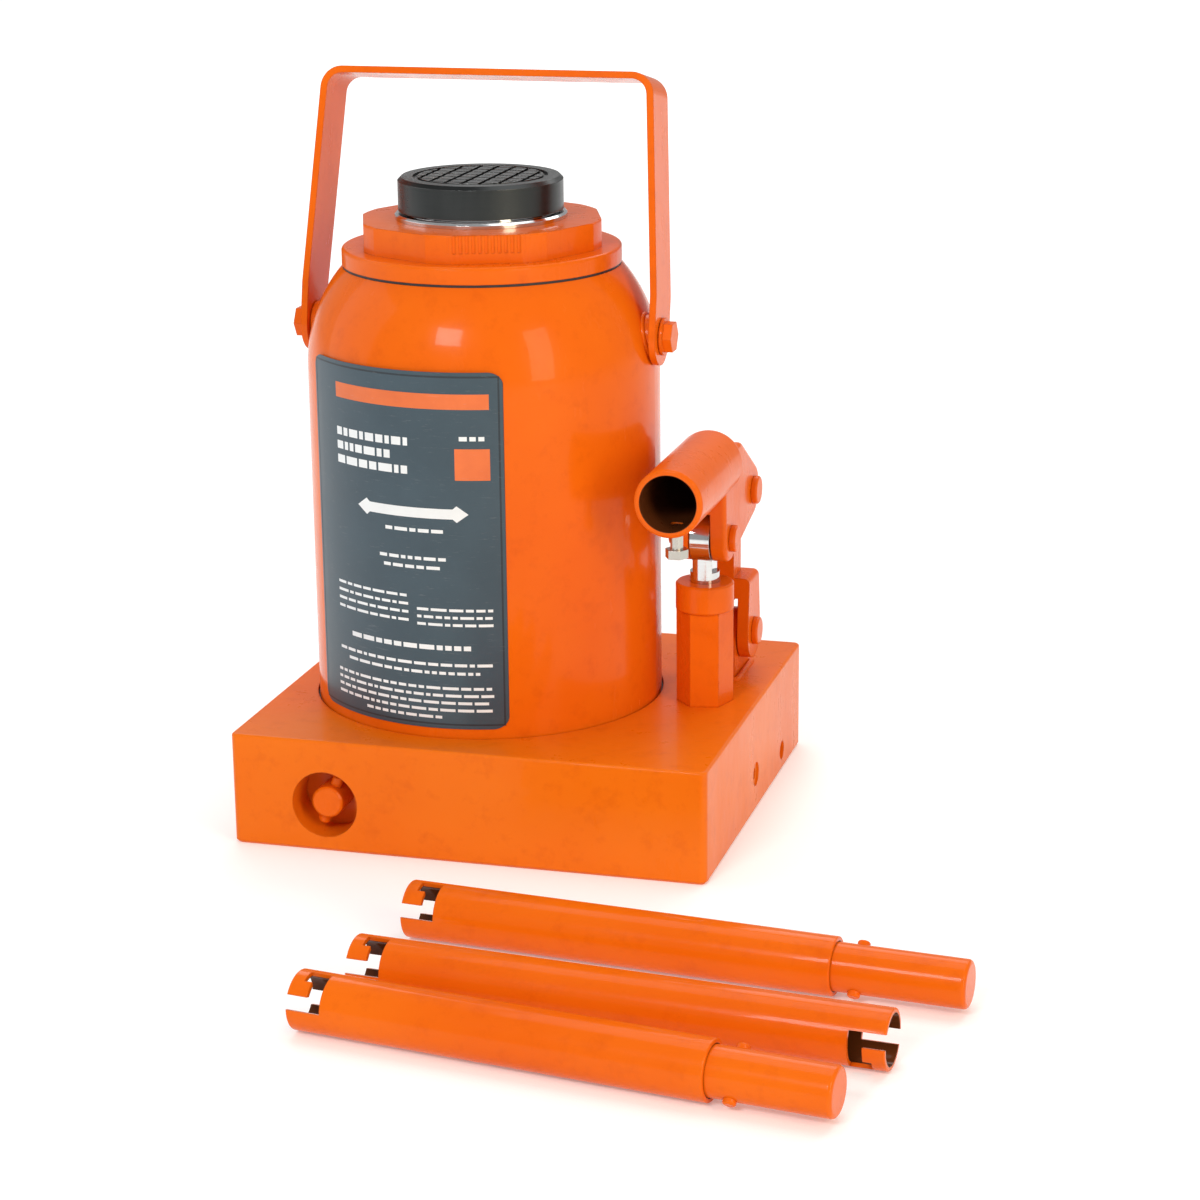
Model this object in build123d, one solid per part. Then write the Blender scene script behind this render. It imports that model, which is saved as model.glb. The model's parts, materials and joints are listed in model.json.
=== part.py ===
from build123d import *
import math
import os

# Hydraulic bottle jack with a carrying bail and a three-piece handle. Millimetres.
# Origin: on the ram's axis at the underside of the base. +X towards the pump, -Y the front, +Z up.

# ---- Driving dimensions ----
CLOSED_HEIGHT = 258.0
LIFT = 160.0
BASE_LEFT = -81.5
BASE_RIGHT = 113.0
BASE_HALF_DEPTH = 87.0
BASE_HEIGHT = 46.0
TANK_RADIUS = 71.0
TANK_WALL = 3.0
RAM_RADIUS = 29.5
PISTON_RADIUS = 35.92
SADDLE_RADIUS = 33.0
PUMP_X = 91.5
PLUNGER_RADIUS = 6.0
HANDLE_TUBE_RADIUS = 10.65
BAIL_LEAN = 11.5

# ---- Fits and clearances ----
RUNNING = 0.05
LOOSE = 0.3

# ---- Base and its passages ----
BASE_CORNER = 3.0
BASE_EDGE = 1.2
GROOVE_DEPTH = 3.0
GROOVE_INNER = TANK_RADIUS - TANK_WALL - 0.5
GROOVE_OUTER = TANK_RADIUS + 0.7
CYLINDER_SEAT = 32.0
SUMP_RADIUS = 28.0
SUMP_FLOOR = 29.0
PUMP_SEAT = 30.0
PASSAGE_HEIGHT = 15.6
PASSAGE_RADIUS = 2.5
PORT_RADIUS = 2.2
PLUG_RADIUS = 5.0
PLUG_LENGTH = 8.0
VALVE_BORE = 4.5
INLET_X = 56.0
INLET_SEAT = 40.0
INLET_BALL = 3.5
OUTLET_X = 18.0
OUTLET_SEAT = 19.0
OUTLET_BALL = 3.8
RELIEF_Y = 50.0
RELIEF_HEIGHT = 9.0
RELIEF_BORE = 4.0
RELIEF_SEAT_X = 33.0
RELIEF_PORT_X = 40.0
RELIEF_BALL = 3.0

# ---- Release valve ----
VALVE_X = -42.3
VALVE_HEIGHT = 19.5
RECESS_RADIUS = 13.5
RECESS_DEPTH = 16.0
VALVE_THREAD = 6.1
VALVE_THREAD_END = -40.0
VALVE_SEAT_Y = -32.0
VALVE_BALL = 3.1
VALVE_PIN_TILT = 20.0
VALVE_PIN_HALF = 10.5

# ---- Tank, cylinder and top nut ----
TANK_BOTTOM = BASE_HEIGHT - 1.5
SHOULDER_START = 183.0
SHOULDER_ARC = 60.0
TANK_TOP = 222.8
CYLINDER_OUTER = 44.0
CYLINDER_BORE = 36.0
CYLINDER_TOP = 225.0
NUT_SEAT = TANK_TOP + 1.0
NUT_FLANGE_RADIUS = 56.0
NUT_FLANGE_TOP = 230.5
NUT_FLATS_RADIUS = 47.0
NUT_CORNER_RADIUS = 49.0
NUT_TOP = 241.5
NUT_SKIRT_RADIUS = 51.0
NUT_SKIRT_BOTTOM = 200.0
NUT_TURN = -70.0
SEAL_GROOVE = 228.0
FILLER_HEIGHT = 168.0
FILLER_RADIUS = 6.0

# ---- Ram and saddle ----
PISTON_BOTTOM = 36.0
PISTON_TOP = 63.0
CUP_GROOVE = 39.0
GUIDE_GROOVE = 52.0
SADDLE_BOTTOM = 244.8
RAM_TOP = 244.5
WIPER_RADIUS = 34.4
WIPER_TOP = 243.8
SPIGOT_BOTTOM = 226.0
SPIGOT_GROOVE = 231.0

# ---- Pump ----
PUMP_FLATS = 10.0
PUMP_HEAD_RADIUS = 11.8
PUMP_HEAD_BOTTOM = 85.0
PUMP_TOP = 96.6
PUMP_SPIGOT = 9.0
PLUNGER_BOTTOM = 50.0
PLUNGER_SHOULDER = 101.0
PLUNGER_PIN = (0.0, 115.0)
FULCRUM = (40.0, 125.2)
LINK_FOOT = (42.0, 64.0)
EYE_RADIUS = 10.0
EYE_HALF = 4.0
PLUNGER_PIN_RADIUS = 3.5
LINK_PIN_RADIUS = 4.0
CHEEK_OUTER = 11.0
CHEEK_INNER = 4.5
TONGUE_HALF = 4.2
TONGUE_RADIUS = 8.5
FORK_INNER = 6.2
FORK_RADIUS = 11.5
LUG_HALF = 5.7
SOCKET_HEIGHT = 143.5
SOCKET_RADIUS = 13.6
SOCKET_BORE = 11.2
SOCKET_MOUTH = -60.0
SOCKET_END = 15.0
SOCKET_DEPTH = 60.0
SET_SCREW_Y = -46.0

# ---- Carrying bail ----
BAIL_PIVOT_HEIGHT = 196.0
BAIL_INNER = 71.4
BAIL_THICK = 2.7
BAIL_HALF_WIDTH = 11.5
BAIL_REACH = 102.5
BAIL_BEND = 16.0
BAIL_TAPER = 5.5
BAIL_CORNER = 9.0
STUD_RADIUS = 4.0

# ---- Label ----
LABEL_FROM = -141.0
LABEL_TO = -66.5
LABEL_BOTTOM = 50.0
LABEL_TOP = 193.0
LABEL_THICK = 0.4

# ---- Handle sections, lying on the ground in front of the base ----
HANDLE_WALL = 1.65
SPIGOT_RADIUS = 8.8
SPIGOT_HIDDEN = 40.0
HANDLE_PIN_RADIUS = 2.3
HANDLE_PIN_OFFSET = 8.0
SLOT_WIDTH = 5.2
SLOT_DEPTH = 13.0
SLOT_TURN = 60.0
SLOT_RETURN = 3.0
SLOT_ROLL = 73.0
PIN_ROLL = 64.0
# Each section on the ground: x, y and heading of its left end, tube length, spigot length.
REAR_SECTION = (19.0, -160.0, -5.1, 163.0, 48.0)
MIDDLE_SECTION = (16.9, -213.0, -4.9, 195.0, 0.0)
FRONT_SECTION = (8.5, -247.0, -7.7, 152.0, 43.0)

BOTTOM = (Align.CENTER, Align.CENTER, Align.MIN)


# ---- Small helpers ----
def rod_z(radius, bottom, top, x=0.0, y=0.0):
    return Pos(x, y, bottom) * Cylinder(radius, top - bottom, align=BOTTOM)


def rod_x(radius, start, end, y, z):
    return Pos(start, y, z) * Rot(0, 90, 0) * Cylinder(radius, end - start, align=BOTTOM)


def rod_y(radius, start, end, x, z):
    return Pos(x, start, z) * Rot(-90, 0, 0) * Cylinder(radius, end - start, align=BOTTOM)


def ring_z(inner, outer, bottom, top, x=0.0, y=0.0):
    return rod_z(outer, bottom, top, x, y) - rod_z(inner, bottom, top, x, y)


def ring_x(inner, outer, start, end, y, z):
    return rod_x(outer, start, end, y, z) - rod_x(inner, start, end, y, z)


def block(x_range, y_range, z_range):
    size = [high - low for low, high in (x_range, y_range, z_range)]
    middle = [(high + low) / 2 for low, high in (x_range, y_range, z_range)]
    return Pos(*middle) * Box(*size)


def side_plate(sketch, inner, outer):
    """Extrude a (y, z) sketch along X from inner to outer, measured from the pump's axis."""
    return extrude(Plane.YZ.offset(PUMP_X + inner) * sketch, outer - inner)


def disc_at(point, radius):
    return Pos(*point) * Circle(radius)


def coil(radius, wire, start, end, turns):
    """A compression spring along +Z from start to end."""
    height = end - start - 2 * wire
    path = Pos(0, 0, start + wire) * Helix(height / turns, height, radius)
    section = Plane(path @ 0, z_dir=path % 0) * Circle(wire)
    return sweep(section, path)


# ---- Base ----
def base_shell():
    width = (BASE_LEFT, BASE_RIGHT)
    body = block(width, (-BASE_HALF_DEPTH, BASE_HALF_DEPTH), (0, BASE_HEIGHT))
    body = fillet(body.edges().filter_by(Axis.Z), BASE_CORNER)
    body = fillet(body.faces().sort_by(Axis.Z)[-1].edges(), BASE_EDGE)
    return chamfer(body.faces().sort_by(Axis.Z)[0].edges(), BASE_EDGE)


def base_bores():
    """Seats that are turned from above: tank groove, cylinder, sump and pump."""
    bores = ring_z(GROOVE_INNER, GROOVE_OUTER, BASE_HEIGHT - GROOVE_DEPTH, BASE_HEIGHT)
    bores += rod_z(CYLINDER_OUTER + RUNNING, CYLINDER_SEAT, BASE_HEIGHT)
    bores += rod_z(SUMP_RADIUS, SUMP_FLOOR, CYLINDER_SEAT)
    bores += rod_z(PUMP_SPIGOT + RUNNING, PUMP_SEAT, BASE_HEIGHT, PUMP_X)
    bores += rod_z(4.0, PASSAGE_HEIGHT, PUMP_SEAT, PUMP_X)
    return bores


def delivery_passage():
    """Line from the pump to the sump, with the inlet and outlet valve bores along it."""
    drill = rod_x(PASSAGE_RADIUS, OUTLET_X - 4, BASE_RIGHT, 0, PASSAGE_HEIGHT)
    drill += rod_x(PLUG_RADIUS, BASE_RIGHT - PLUG_LENGTH, BASE_RIGHT, 0, PASSAGE_HEIGHT)
    drill += rod_z(PORT_RADIUS, PASSAGE_HEIGHT, OUTLET_SEAT, OUTLET_X)
    drill += rod_z(VALVE_BORE, OUTLET_SEAT, SUMP_FLOOR, OUTLET_X)
    drill += rod_z(PORT_RADIUS, PASSAGE_HEIGHT, BASE_HEIGHT, INLET_X)
    return drill + rod_z(VALVE_BORE, INLET_SEAT - 10, BASE_HEIGHT, INLET_X)


def relief_passage():
    """Overload line: slanted from the sump to a seat, then up into the tank."""
    start = Vector(14, 18, SUMP_FLOOR + 1)
    run = Vector(RELIEF_SEAT_X - 4, RELIEF_Y, RELIEF_HEIGHT) - start
    drill = Plane(start, z_dir=run) * Cylinder(1.5, run.length, align=BOTTOM)
    drill += rod_x(2.0, RELIEF_SEAT_X - 5, RELIEF_SEAT_X, RELIEF_Y, RELIEF_HEIGHT)
    drill += rod_x(RELIEF_BORE, RELIEF_SEAT_X, BASE_RIGHT, RELIEF_Y, RELIEF_HEIGHT)
    return drill + rod_z(2.0, RELIEF_HEIGHT, BASE_HEIGHT, RELIEF_PORT_X, RELIEF_Y)


def return_passage():
    """Release line from the sump to the left face, crossed by the release valve."""
    drill = rod_x(PASSAGE_RADIUS, BASE_LEFT, 4 - OUTLET_X, 0, VALVE_HEIGHT)
    drill += rod_x(PLUG_RADIUS, BASE_LEFT, BASE_LEFT + PLUG_LENGTH, 0, VALVE_HEIGHT)
    return drill + rod_z(PORT_RADIUS, VALVE_HEIGHT, SUMP_FLOOR, -OUTLET_X)


def valve_pocket():
    front = -BASE_HALF_DEPTH
    pocket = rod_y(RECESS_RADIUS, front, front + RECESS_DEPTH, VALVE_X, VALVE_HEIGHT)
    pocket += rod_y(VALVE_THREAD, front, VALVE_THREAD_END, VALVE_X, VALVE_HEIGHT)
    pocket += rod_y(VALVE_BALL + 0.5, VALVE_THREAD_END, VALVE_SEAT_Y, VALVE_X, VALVE_HEIGHT)
    pocket += rod_y(PORT_RADIUS, VALVE_SEAT_Y, 0, VALVE_X, VALVE_HEIGHT)
    return pocket + rod_z(2.0, VALVE_HEIGHT, BASE_HEIGHT, VALVE_X, VALVE_THREAD_END + 3)


def base_block():
    drilled = delivery_passage() + relief_passage() + return_passage()
    return base_shell() - base_bores() - drilled - valve_pocket()


def seat_offset(ball, hole):
    """Distance from a seat's edge to the centre of the ball resting on it."""
    return math.sqrt(ball ** 2 - hole ** 2) + 0.02


def passage_plugs():
    """Two screwed plugs with hexagon sockets, one at each end of the drilled line."""
    right = rod_x(PLUG_RADIUS, BASE_RIGHT - PLUG_LENGTH, BASE_RIGHT - 0.8, 0, PASSAGE_HEIGHT)
    left = rod_x(PLUG_RADIUS, BASE_LEFT + 0.8, BASE_LEFT + PLUG_LENGTH, 0, VALVE_HEIGHT)
    key = RegularPolygon(2.6, 6)
    right -= extrude(Plane.YZ.offset(BASE_RIGHT - 4) * Pos(0, PASSAGE_HEIGHT) * key, 4)
    left -= extrude(Plane.YZ.offset(BASE_LEFT) * Pos(0, VALVE_HEIGHT) * key, 4)
    return Compound(children=[right, left])


def relief_screw():
    screw = rod_x(RELIEF_BORE - RUNNING, 88, BASE_RIGHT - 1.5, RELIEF_Y, RELIEF_HEIGHT)
    slot = (BASE_RIGHT - 4, BASE_RIGHT)
    height = (RELIEF_HEIGHT - 0.7, RELIEF_HEIGHT + 0.7)
    return screw - block(slot, (RELIEF_Y - 5, RELIEF_Y + 5), height)


def relief_ball():
    centre = RELIEF_SEAT_X + seat_offset(RELIEF_BALL, 2.0)
    return Pos(centre, RELIEF_Y, RELIEF_HEIGHT) * Sphere(RELIEF_BALL)


def relief_spring():
    start = RELIEF_SEAT_X + seat_offset(RELIEF_BALL, 2.0) + RELIEF_BALL - 0.6
    spring = coil(2.4, 0.5, start, 87.5, 12)
    return Pos(0, RELIEF_Y, RELIEF_HEIGHT) * Rot(0, 90, 0) * spring


def outlet_ball():
    centre = OUTLET_SEAT + seat_offset(OUTLET_BALL, PORT_RADIUS)
    return Pos(OUTLET_X, 0, centre) * Sphere(OUTLET_BALL)


def outlet_spring():
    return Pos(OUTLET_X, 0, 0) * coil(2.8, 0.35, OUTLET_SEAT + 5.9, SUMP_FLOOR - 2.6, 2)


def outlet_retainer():
    """Hollow screw that holds the outlet valve's spring down."""
    screw = rod_z(VALVE_BORE - RUNNING, SUMP_FLOOR - 2.5, SUMP_FLOOR, OUTLET_X)
    hexagon = Pos(OUTLET_X, 0, SUMP_FLOOR - 2.5) * RegularPolygon(2.3, 6)
    return screw - extrude(hexagon, 2.5)


def inlet_seat():
    """Screwed-in seat; the inlet ball closes it from below."""
    screw = rod_z(VALVE_BORE - RUNNING, INLET_SEAT, BASE_HEIGHT - 0.5, INLET_X)
    return screw - rod_z(2.0, INLET_SEAT, BASE_HEIGHT, INLET_X)


def inlet_ball():
    return Pos(INLET_X, 0, INLET_SEAT - seat_offset(INLET_BALL, 2.0)) * Sphere(INLET_BALL)


def inlet_spring():
    return Pos(INLET_X, 0, 0) * coil(2.9, 0.35, INLET_SEAT - 10, INLET_SEAT - 5.3, 3)


def inlet_strainer():
    """Perforated cap over the port that feeds the pump from the tank."""
    cap = ring_z(4.8, 6.0, BASE_HEIGHT, BASE_HEIGHT + 4, INLET_X)
    cap += rod_z(6.0, BASE_HEIGHT + 4, BASE_HEIGHT + 5, INLET_X)
    for step in range(6):
        angle = math.radians(60 * step)
        cap -= rod_z(0.7, BASE_HEIGHT + 3, BASE_HEIGHT + 6,
                     INLET_X + 3 * math.cos(angle), 3 * math.sin(angle))
    return cap


# ---- Release valve ----
def release_screw():
    front = -BASE_HALF_DEPTH
    floor = front + RECESS_DEPTH
    stem = rod_y(6.4, front + 2.5, floor - LOOSE, VALVE_X, VALVE_HEIGHT)
    stem = chamfer(stem.faces().sort_by(Axis.Y)[0].edges(), 0.8)
    thread_end = VALVE_THREAD_END - 2
    tip = VALVE_SEAT_Y - seat_offset(VALVE_BALL, PORT_RADIUS) - VALVE_BALL - 0.05
    stem += rod_y(VALVE_THREAD - RUNNING, floor - LOOSE, thread_end, VALVE_X, VALVE_HEIGHT)
    stem += rod_y(VALVE_BALL, thread_end, tip, VALVE_X, VALVE_HEIGHT)
    stem -= seal_groove()
    return stem - valve_pin(HANDLE_PIN_RADIUS + 0.02, 8.0)


def seal_groove():
    outer = rod_y(8.0, -58, -55, VALVE_X, VALVE_HEIGHT)
    return outer - rod_y(4.6, -58, -55, VALVE_X, VALVE_HEIGHT)


def valve_pin(radius, half_length):
    pin = Cylinder(radius, 2 * half_length)
    return Pos(VALVE_X, -BASE_HALF_DEPTH + 8, VALVE_HEIGHT) * Rot(0, VALVE_PIN_TILT, 0) * pin


def release_cross_pin():
    pin = valve_pin(HANDLE_PIN_RADIUS, VALVE_PIN_HALF)
    return chamfer(pin.edges().filter_by(GeomType.CIRCLE), 0.5)


def release_seal():
    outer = rod_y(VALVE_THREAD - RUNNING, -57.9, -55.1, VALVE_X, VALVE_HEIGHT)
    return outer - rod_y(4.65, -57.9, -55.1, VALVE_X, VALVE_HEIGHT)


def release_ball():
    centre = VALVE_SEAT_Y - seat_offset(VALVE_BALL, PORT_RADIUS)
    return Pos(VALVE_X, centre, VALVE_HEIGHT) * Sphere(VALVE_BALL)


# ---- Tank, cylinder and top nut ----
def shoulder_radius(height, arc):
    """Radius of the shoulder's arc at a height, for the outer or the inner skin."""
    rise = height - SHOULDER_START
    return TANK_RADIUS - SHOULDER_ARC + math.sqrt(arc ** 2 - rise ** 2)


def shoulder_arc(arc):
    sweep_angle = math.degrees(math.asin((TANK_TOP - SHOULDER_START) / arc))
    return CenterArc((TANK_RADIUS - SHOULDER_ARC, SHOULDER_START), arc, 0, sweep_angle)


def reservoir_tank():
    inner_radius = TANK_RADIUS - TANK_WALL
    inner_arc = SHOULDER_ARC - TANK_WALL
    inner_rim = (shoulder_radius(TANK_TOP, inner_arc), TANK_TOP)
    outer_rim = (shoulder_radius(TANK_TOP, SHOULDER_ARC), TANK_TOP)
    outline = [
        Line((inner_radius, TANK_BOTTOM), (TANK_RADIUS, TANK_BOTTOM)),
        Line((TANK_RADIUS, TANK_BOTTOM), (TANK_RADIUS, SHOULDER_START)),
        shoulder_arc(SHOULDER_ARC),
        Line(outer_rim, inner_rim),
        shoulder_arc(inner_arc),
        Line((inner_radius, SHOULDER_START), (inner_radius, TANK_BOTTOM)),
    ]
    tank = revolve(Plane.XZ * make_face(outline), Axis.Z)
    return tank - rod_y(FILLER_RADIUS, 0, TANK_RADIUS + 5, 0, FILLER_HEIGHT)


def tank_gasket():
    floor = BASE_HEIGHT - GROOVE_DEPTH
    return ring_z(GROOVE_INNER + 0.2, GROOVE_OUTER - 0.2, floor, TANK_BOTTOM)


def tank_top_seal():
    return ring_z(NUT_SKIRT_RADIUS + 0.9, NUT_FLANGE_RADIUS - 0.3, TANK_TOP, NUT_SEAT)


def filler_plug():
    """Rubber plug pushed into the tank's filler hole, on the back."""
    seat = TANK_RADIUS + 0.1
    head = rod_y(9.0, 55, seat + 3.5, 0, FILLER_HEIGHT)
    head = fillet(head.faces().sort_by(Axis.Y)[-1].edges(), 1.5)
    head -= rod_z(seat, FILLER_HEIGHT - 12, FILLER_HEIGHT + 12)
    stem = rod_y(FILLER_RADIUS - RUNNING, 62, seat + 1, 0, FILLER_HEIGHT)
    return head + stem


def pressure_cylinder():
    """Cylinder tube; the small bypass hole dumps the oil once the ram is fully out."""
    bottom = CYLINDER_SEAT + 1.5
    body = ring_z(CYLINDER_BORE, CYLINDER_OUTER, bottom, CYLINDER_TOP)
    bypass = rod_x(1.5, CYLINDER_BORE - 2, CYLINDER_OUTER + 2, 0, CUP_GROOVE + LIFT - 2)
    return body - bypass


def cylinder_seal():
    return ring_z(CYLINDER_BORE + 0.5, CYLINDER_OUTER - 0.2, CYLINDER_SEAT, CYLINDER_SEAT + 1.5)


def nut_collar():
    """Octagonal wrench collar with its corners turned down, and the front flat serrated."""
    height = NUT_TOP - NUT_FLANGE_TOP
    flats = RegularPolygon(NUT_FLATS_RADIUS, 8, major_radius=False)
    collar = extrude(Pos(0, 0, NUT_FLANGE_TOP) * Rot(0, 0, NUT_TURN + 22.5) * flats, height)
    turned = rod_z(NUT_CORNER_RADIUS, NUT_FLANGE_TOP, NUT_TOP)
    turned = fillet(turned.faces().sort_by(Axis.Z)[-1].edges(), 0.8)
    return (collar & turned) - nut_serrations()


def nut_serrations():
    front = Rot(0, 0, NUT_TURN)
    cuts = [front * rod_z(0.75, NUT_TOP - 7, NUT_TOP, NUT_FLATS_RADIUS + 0.3, 2.5 * step)
            for step in range(-7, 8)]
    return Compound(children=cuts)


def top_nut():
    nut = rod_z(NUT_SKIRT_RADIUS, NUT_SKIRT_BOTTOM, NUT_SEAT)
    flange = rod_z(NUT_FLANGE_RADIUS, NUT_SEAT, NUT_FLANGE_TOP)
    nut += fillet(flange.faces().sort_by(Axis.Z)[-1].edges(), 1.2)
    nut += nut_collar()
    nut -= rod_z(CYLINDER_OUTER + RUNNING, NUT_SKIRT_BOTTOM, CYLINDER_TOP)
    nut -= rod_z(RAM_RADIUS + RUNNING, CYLINDER_TOP, NUT_TOP)
    nut -= ring_z(RAM_RADIUS, RAM_RADIUS + 4, SEAL_GROOVE, SEAL_GROOVE + 5)
    return nut - ring_z(RAM_RADIUS, WIPER_RADIUS - 1.2, NUT_TOP - 3.5, NUT_TOP)


def rod_seal():
    return ring_z(RAM_RADIUS + RUNNING, RAM_RADIUS + 3.9, SEAL_GROOVE + 0.1, SEAL_GROOVE + 4.9)


def wiper_ring():
    """Plated wiper that stands proud round the ram and closes the nut's top."""
    lip = ring_z(RAM_RADIUS + RUNNING, WIPER_RADIUS, NUT_TOP, WIPER_TOP)
    lip = chamfer(lip.faces().sort_by(Axis.Z)[-1].edges(), 0.8)
    return lip + ring_z(RAM_RADIUS + RUNNING, WIPER_RADIUS - 1.3, NUT_TOP - 3.4, NUT_TOP)


# ---- Ram and saddle ----
def ram():
    body = rod_z(RAM_RADIUS, PISTON_TOP, RAM_TOP)
    body += rod_z(PISTON_RADIUS, PISTON_BOTTOM, PISTON_TOP)
    body -= ring_z(PISTON_RADIUS - 6, PISTON_RADIUS, CUP_GROOVE, CUP_GROOVE + 8)
    body -= ring_z(PISTON_RADIUS - 3, PISTON_RADIUS, GUIDE_GROOVE, GUIDE_GROOVE + 8)
    return body - rod_z(14.0, SPIGOT_BOTTOM - 2, RAM_TOP)


def piston_cup():
    """Cup seal: a ring with a lip that opens towards the oil."""
    inner = PISTON_RADIUS - 5.9
    cup = ring_z(inner, CYLINDER_BORE - 0.02, CUP_GROOVE + 0.1, CUP_GROOVE + 5.9)
    return cup - ring_z(inner + 1.8, PISTON_RADIUS - 1.8, CUP_GROOVE + 0.1, CUP_GROOVE + 3)


def piston_backup_ring():
    bottom = CUP_GROOVE + 6
    return ring_z(PISTON_RADIUS - 5.9, CYLINDER_BORE - 0.02, bottom, bottom + 1.9)


def piston_guide():
    """Bronze wear band in the piston's upper groove, split as it is fitted."""
    band = ring_z(PISTON_RADIUS - 2.9, CYLINDER_BORE - 0.03, GUIDE_GROOVE + 0.1, GUIDE_GROOVE + 7.9)
    return band - block((25, 40), (-0.8, 0.8), (GUIDE_GROOVE, GUIDE_GROOVE + 8))


def saddle_grooves():
    """Square chequering and one round groove cut into the saddle's top."""
    depth = (CLOSED_HEIGHT - 1.3, CLOSED_HEIGHT)
    cuts = ring_z(25.0, 27.0, *depth)
    for step in range(-3, 4):
        place = 7.0 * step
        half = math.sqrt(24.9 ** 2 - place ** 2)
        cuts += block((place - 0.9, place + 0.9), (-half, half), depth)
        cuts += block((-half, half), (place - 0.9, place + 0.9), depth)
    return cuts


def saddle():
    head = rod_z(SADDLE_RADIUS, SADDLE_BOTTOM, CLOSED_HEIGHT)
    head = chamfer(head.faces().sort_by(Axis.Z)[-1].edges(), 1.5)
    head += rod_z(13.7, SPIGOT_BOTTOM, SADDLE_BOTTOM)
    head -= ring_z(11.5, 13.7, SPIGOT_GROOVE, SPIGOT_GROOVE + 3)
    return head - saddle_grooves()


def saddle_ring():
    """Spring ring that keeps the saddle's spigot in the ram's bore."""
    ring = ring_z(11.7, 13.9, SPIGOT_GROOVE + 0.5, SPIGOT_GROOVE + 2.5)
    return ring - block((8, 15), (-2.5, 2.5), (SPIGOT_GROOVE, SPIGOT_GROOVE + 3))


# ---- Pump ----
def pump_cylinder():
    hexagon = RegularPolygon(PUMP_FLATS, 6, major_radius=False, rotation=12)
    body = extrude(Pos(PUMP_X, 0, BASE_HEIGHT) * hexagon, PUMP_HEAD_BOTTOM - BASE_HEIGHT)
    head = rod_z(PUMP_HEAD_RADIUS, PUMP_HEAD_BOTTOM, PUMP_TOP, PUMP_X)
    body += chamfer(head.edges().filter_by(GeomType.CIRCLE), 0.7)
    body += rod_z(PUMP_SPIGOT, PUMP_SEAT + 1.5, BASE_HEIGHT, PUMP_X)
    body -= rod_z(PLUNGER_RADIUS + 0.03, PUMP_SEAT + 1.5, PUMP_TOP, PUMP_X)
    return body - ring_z(PLUNGER_RADIUS, 8.2, 89, 93, PUMP_X)


def pump_washer():
    return ring_z(4.5, PUMP_SPIGOT - 0.1, PUMP_SEAT, PUMP_SEAT + 1.5, PUMP_X)


def pump_gland_seal():
    return ring_z(PLUNGER_RADIUS + RUNNING, 8.1, 89.1, 92.9, PUMP_X)


def pump_plunger():
    """Round plunger whose flattened top ends in an eye for the lever's pin."""
    eye_height = PLUNGER_PIN[1]
    shaft = rod_z(PLUNGER_RADIUS, PLUNGER_BOTTOM, PLUNGER_SHOULDER, PUMP_X)
    shaft -= ring_z(4.2, PLUNGER_RADIUS, 53, 57, PUMP_X)
    neck = rod_z(PLUNGER_RADIUS, PLUNGER_SHOULDER, eye_height, PUMP_X)
    neck &= block((PUMP_X - EYE_HALF, PUMP_X + EYE_HALF), (-20, 20), (90, eye_height))
    eye = side_plate(disc_at(PLUNGER_PIN, EYE_RADIUS), -EYE_HALF, EYE_HALF)
    hole = SlotOverall(2 * PLUNGER_PIN_RADIUS + 4.4, 2 * PLUNGER_PIN_RADIUS + 0.9)
    return shaft + neck + eye - side_plate(Pos(*PLUNGER_PIN) * hole, -6, 6)


def plunger_seal():
    return ring_z(4.25, PLUNGER_RADIUS, 53.1, 56.9, PUMP_X)


def link_lug():
    """Welded lug that carries the link's lower pin."""
    y, z = LINK_FOOT
    foot = Pos(y, BASE_HEIGHT + 5) * Rectangle(26, 10)
    outline = make_hull(foot.edges() + disc_at(LINK_FOOT, 9.5).edges())
    lug = side_plate(outline, -LUG_HALF, LUG_HALF)
    return lug - rod_x(LINK_PIN_RADIUS + 0.02, PUMP_X - 10, PUMP_X + 10, y, z)


def link_tongue():
    stem = Pos(FULCRUM[0], 102) * Rectangle(13, 2 * (FULCRUM[1] - 102))
    return side_plate(stem + disc_at(FULCRUM, TONGUE_RADIUS), -TONGUE_HALF, TONGUE_HALF)


def pump_link():
    """Link from the lug up to the lever: a tongue above and a fork below."""
    y, z = LINK_FOOT
    fork = make_hull((Pos(y, 86) * Rectangle(17, 5)).edges() + disc_at(LINK_FOOT, FORK_RADIUS).edges())
    link = side_plate(fork, -CHEEK_OUTER, CHEEK_OUTER)
    link = fillet(link.faces().sort_by(Axis.Z)[-1].edges().filter_by(Axis.Y), 2.5)
    link -= block((PUMP_X - FORK_INNER, PUMP_X + FORK_INNER), (0, 80), (40, 80))
    link += link_tongue()
    link -= rod_x(LINK_PIN_RADIUS + RUNNING, 60, 120, y, z)
    return link - rod_x(LINK_PIN_RADIUS + RUNNING, 60, 120, *FULCRUM)


def lever_body():
    """Cheeks, seen from the side, wrapped round both pins and the socket's closed end."""
    discs = disc_at(PLUNGER_PIN, 9.5).edges() + disc_at(FULCRUM, 11.0).edges()
    discs += disc_at((SOCKET_END + 1, SOCKET_HEIGHT - 3), 10.0).edges()
    discs += disc_at((-5.0, SOCKET_HEIGHT), 6.0).edges()
    cheeks = side_plate(make_hull(discs), -CHEEK_OUTER, CHEEK_OUTER)
    return fillet(cheeks.edges().filter_by(Axis.X, reverse=True), 1.8)


def lever_slot():
    """Gap between the cheeks for the plunger's eye and the link's tongue."""
    across = (PUMP_X - CHEEK_INNER, PUMP_X + CHEEK_INNER)
    slot = block(across, (-20, 60), (90, 126.8))
    return slot + side_plate(disc_at(FULCRUM, TONGUE_RADIUS + 1.0), -CHEEK_INNER, CHEEK_INNER)


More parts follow.
